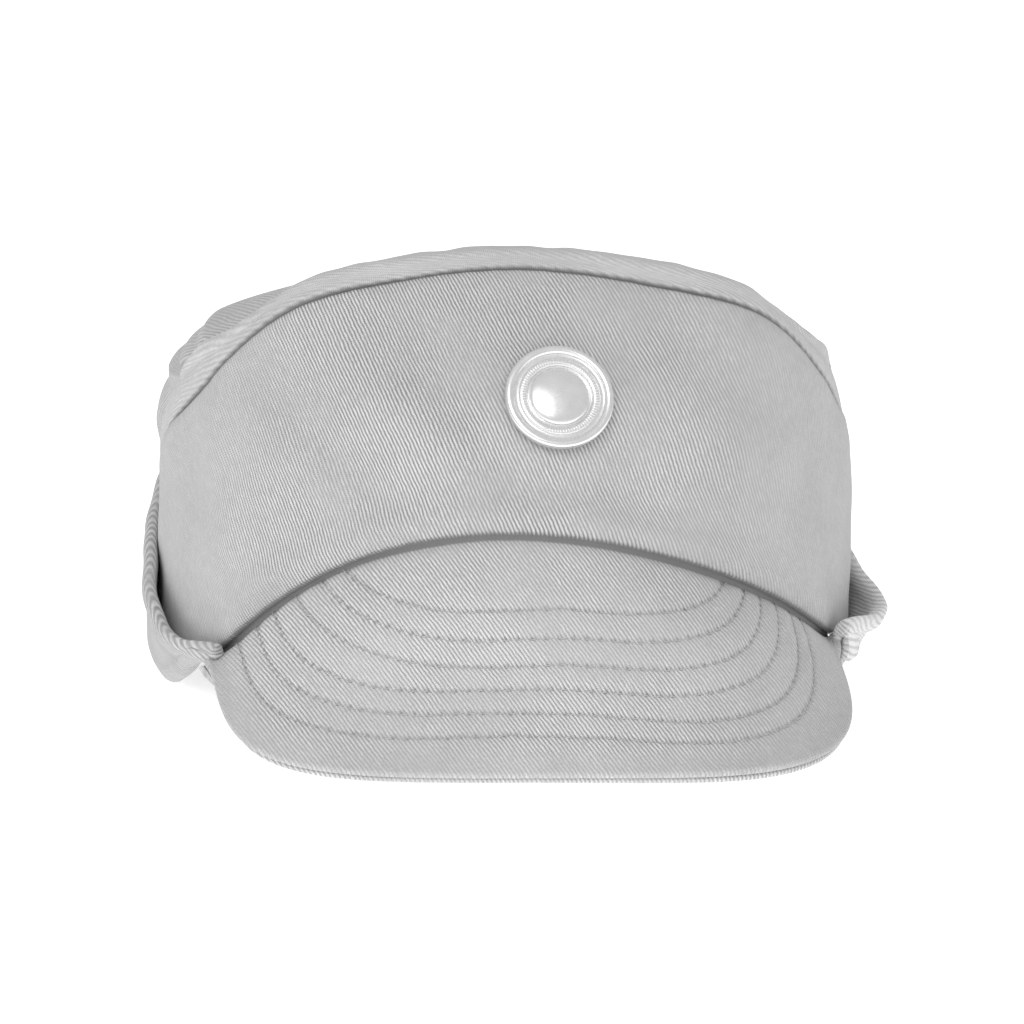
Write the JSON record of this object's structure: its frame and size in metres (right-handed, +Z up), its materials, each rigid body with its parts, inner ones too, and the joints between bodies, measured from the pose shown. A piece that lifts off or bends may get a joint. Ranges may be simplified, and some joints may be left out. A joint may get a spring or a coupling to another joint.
{
  "type": "officer cap",
  "caption": "Soft peaked field cap in grey twill, worn on the head, with a turned-up flap round its sides and back, a row-stitched peak and a round metal badge.",
  "frame": {"origin": "on the floor, below the middle of the whole cap's box", "axes": "+Z up, -Y towards the peak's front edge, +X towards the wearer's left side"},
  "size_m": [0.1922, 0.2427, 0.1166],
  "materials": {
    "twill": "matt cotton twill",
    "peak_twill": "matt cotton twill over a soft board",
    "badge_metal": "bright turned metal",
    "stud_steel": "plain"
  },
  "bodies": {
    "root": {"front_panel": "twill", "edge_band": "twill", "top_panel": "twill", "side_panel_left": "twill", "side_panel_right": "twill", "flap": "twill", "peak_top": "peak_twill", "peak_under": "peak_twill", "badge": "badge_metal", "badge_stud": "stud_steel"}
  },
  "joints": []
}
